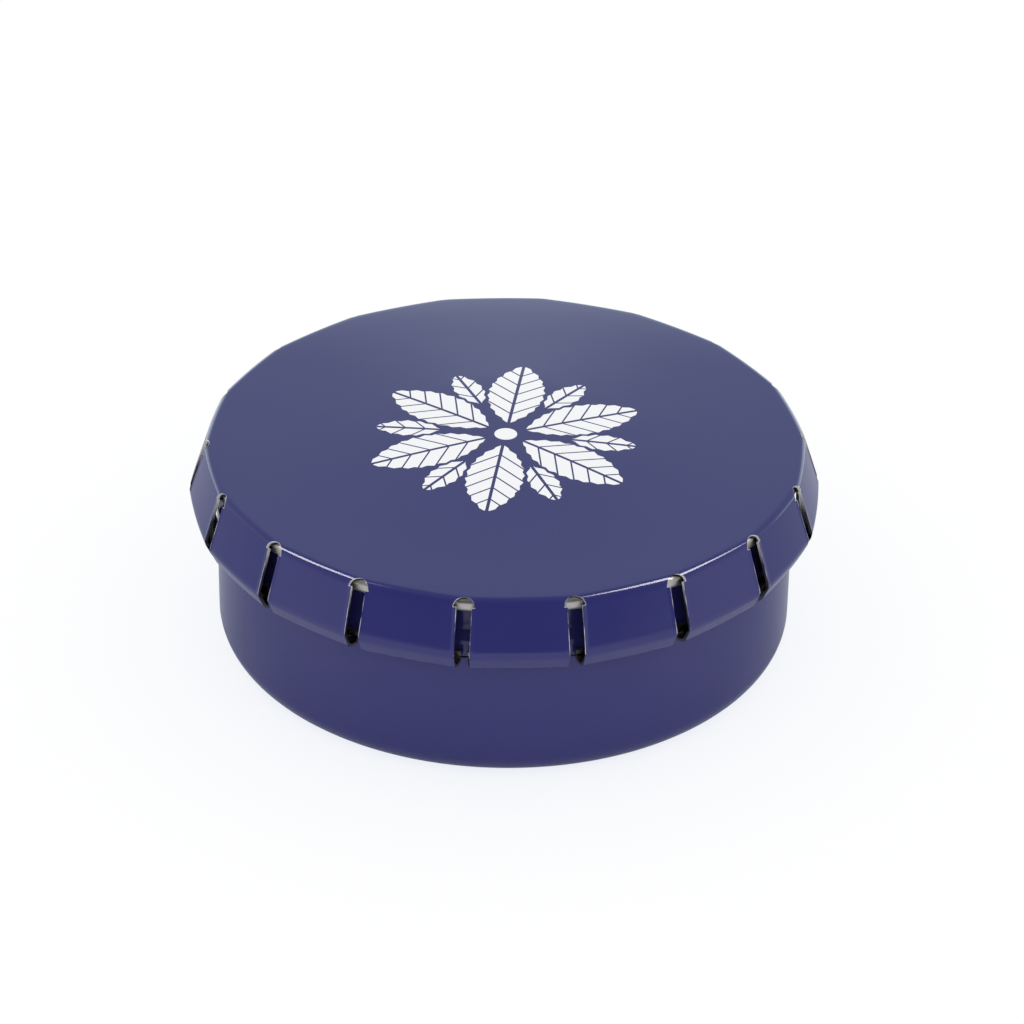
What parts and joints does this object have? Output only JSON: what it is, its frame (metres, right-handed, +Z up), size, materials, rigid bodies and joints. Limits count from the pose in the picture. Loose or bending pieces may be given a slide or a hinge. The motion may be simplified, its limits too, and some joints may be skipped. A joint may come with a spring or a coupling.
{
  "type": "click tin",
  "caption": "Round press-to-open tin: a drawn cup with a rolled rim and a domed snap lid whose slit skirt grips the rim with sprung claws.",
  "frame": {"origin": "centre of the ring that the tin stands on, on the surface it stands on", "axes": "+Z up through the middle of the lid, one slit of the skirt faces -Y"},
  "size_m": [0.0496, 0.05, 0.0171],
  "materials": {
    "cup_lacquer": "gloss dark blue lacquer on tinplate",
    "lid_lacquer": "gloss dark blue lacquer on tinplate",
    "bare_tinplate": "bare tinplate, bright",
    "white_print": "white printing ink under gloss varnish"
  },
  "bodies": {
    "cup": {"base_cup": "cup_lacquer"},
    "lid": {"lid_ring": "lid_lacquer"},
    "snap_panel": {"lid_snap_panel": "lid_lacquer"},
    "claw_01": {"claw_01": "lid_lacquer"},
    "claw_02": {"claw_02": "lid_lacquer"},
    "claw_03": {"claw_03": "lid_lacquer"},
    "claw_04": {"claw_04": "lid_lacquer"},
    "claw_05": {"claw_05": "lid_lacquer"},
    "claw_06": {"claw_06": "lid_lacquer"},
    "claw_07": {"claw_07": "lid_lacquer"},
    "claw_08": {"claw_08": "lid_lacquer"},
    "claw_09": {"claw_09": "lid_lacquer"},
    "claw_10": {"claw_10": "lid_lacquer"},
    "claw_11": {"claw_11": "lid_lacquer"},
    "claw_12": {"claw_12": "lid_lacquer"},
    "claw_13": {"claw_13": "lid_lacquer"},
    "claw_14": {"claw_14": "lid_lacquer"},
    "claw_15": {"claw_15": "lid_lacquer"},
    "claw_16": {"claw_16": "lid_lacquer"},
    "claw_17": {"claw_17": "lid_lacquer"},
    "claw_18": {"claw_18": "lid_lacquer"}
  },
  "joints": [
    {"name": "lid_lift", "type": "slide", "parent": "cup", "child": "lid", "axis": [0, 0, 1], "range_m": [0, 0.04]},
    {"name": "panel_press", "type": "slide", "parent": "lid", "child": "snap_panel", "axis": [0, 0, -1], "range_m": [0, 0.001]},
    {"name": "claw_01_splay", "type": "hinge", "parent": "lid", "child": "claw_01", "pos_m": [0.02364, 0, 0.01592], "axis": [0, -1, 0], "range_deg": [0, 6]},
    {"name": "claw_02_splay", "type": "hinge", "parent": "lid", "child": "claw_02", "pos_m": [0.02221, 0.00809, 0.01592], "axis": [0.342, -0.9397, 0], "range_deg": [0, 6]},
    {"name": "claw_03_splay", "type": "hinge", "parent": "lid", "child": "claw_03", "pos_m": [0.01811, 0.01519, 0.01592], "axis": [0.6428, -0.766, 0], "range_deg": [0, 6]},
    {"name": "claw_04_splay", "type": "hinge", "parent": "lid", "child": "claw_04", "pos_m": [0.01182, 0.02047, 0.01592], "axis": [0.866, -0.5, 0], "range_deg": [0, 6]},
    {"name": "claw_05_splay", "type": "hinge", "parent": "lid", "child": "claw_05", "pos_m": [0.0041, 0.02328, 0.01592], "axis": [0.9848, -0.1736, 0], "range_deg": [0, 6]},
    {"name": "claw_06_splay", "type": "hinge", "parent": "lid", "child": "claw_06", "pos_m": [-0.0041, 0.02328, 0.01592], "axis": [0.9848, 0.1736, 0], "range_deg": [0, 6]},
    {"name": "claw_07_splay", "type": "hinge", "parent": "lid", "child": "claw_07", "pos_m": [-0.01182, 0.02047, 0.01592], "axis": [0.866, 0.5, 0], "range_deg": [0, 6]},
    {"name": "claw_08_splay", "type": "hinge", "parent": "lid", "child": "claw_08", "pos_m": [-0.01811, 0.01519, 0.01592], "axis": [0.6428, 0.766, 0], "range_deg": [0, 6]},
    {"name": "claw_09_splay", "type": "hinge", "parent": "lid", "child": "claw_09", "pos_m": [-0.02221, 0.00809, 0.01592], "axis": [0.342, 0.9397, 0], "range_deg": [0, 6]},
    {"name": "claw_10_splay", "type": "hinge", "parent": "lid", "child": "claw_10", "pos_m": [-0.02364, 0, 0.01592], "axis": [0, 1, 0], "range_deg": [0, 6]},
    {"name": "claw_11_splay", "type": "hinge", "parent": "lid", "child": "claw_11", "pos_m": [-0.02221, -0.00809, 0.01592], "axis": [-0.342, 0.9397, 0], "range_deg": [0, 6]},
    {"name": "claw_12_splay", "type": "hinge", "parent": "lid", "child": "claw_12", "pos_m": [-0.01811, -0.01519, 0.01592], "axis": [-0.6428, 0.766, 0], "range_deg": [0, 6]},
    {"name": "claw_13_splay", "type": "hinge", "parent": "lid", "child": "claw_13", "pos_m": [-0.01182, -0.02047, 0.01592], "axis": [-0.866, 0.5, 0], "range_deg": [0, 6]},
    {"name": "claw_14_splay", "type": "hinge", "parent": "lid", "child": "claw_14", "pos_m": [-0.0041, -0.02328, 0.01592], "axis": [-0.9848, 0.1736, 0], "range_deg": [0, 6]},
    {"name": "claw_15_splay", "type": "hinge", "parent": "lid", "child": "claw_15", "pos_m": [0.0041, -0.02328, 0.01592], "axis": [-0.9848, -0.1736, 0], "range_deg": [0, 6]},
    {"name": "claw_16_splay", "type": "hinge", "parent": "lid", "child": "claw_16", "pos_m": [0.01182, -0.02047, 0.01592], "axis": [-0.866, -0.5, 0], "range_deg": [0, 6]},
    {"name": "claw_17_splay", "type": "hinge", "parent": "lid", "child": "claw_17", "pos_m": [0.01811, -0.01519, 0.01592], "axis": [-0.6428, -0.766, 0], "range_deg": [0, 6]},
    {"name": "claw_18_splay", "type": "hinge", "parent": "lid", "child": "claw_18", "pos_m": [0.02221, -0.00809, 0.01592], "axis": [-0.342, -0.9397, 0], "range_deg": [0, 6]}
  ],
  "couplings": [
    {"joint": "claw_01_splay", "follows": "panel_press", "rad_per_m": 104.72},
    {"joint": "claw_02_splay", "follows": "panel_press", "rad_per_m": 104.72},
    {"joint": "claw_03_splay", "follows": "panel_press", "rad_per_m": 104.72},
    {"joint": "claw_04_splay", "follows": "panel_press", "rad_per_m": 104.72},
    {"joint": "claw_05_splay", "follows": "panel_press", "rad_per_m": 104.72},
    {"joint": "claw_06_splay", "follows": "panel_press", "rad_per_m": 104.72},
    {"joint": "claw_07_splay", "follows": "panel_press", "rad_per_m": 104.72},
    {"joint": "claw_08_splay", "follows": "panel_press", "rad_per_m": 104.72},
    {"joint": "claw_09_splay", "follows": "panel_press", "rad_per_m": 104.72},
    {"joint": "claw_10_splay", "follows": "panel_press", "rad_per_m": 104.72},
    {"joint": "claw_11_splay", "follows": "panel_press", "rad_per_m": 104.72},
    {"joint": "claw_12_splay", "follows": "panel_press", "rad_per_m": 104.72},
    {"joint": "claw_13_splay", "follows": "panel_press", "rad_per_m": 104.72},
    {"joint": "claw_14_splay", "follows": "panel_press", "rad_per_m": 104.72},
    {"joint": "claw_15_splay", "follows": "panel_press", "rad_per_m": 104.72},
    {"joint": "claw_16_splay", "follows": "panel_press", "rad_per_m": 104.72},
    {"joint": "claw_17_splay", "follows": "panel_press", "rad_per_m": 104.72},
    {"joint": "claw_18_splay", "follows": "panel_press", "rad_per_m": 104.72}
  ]
}
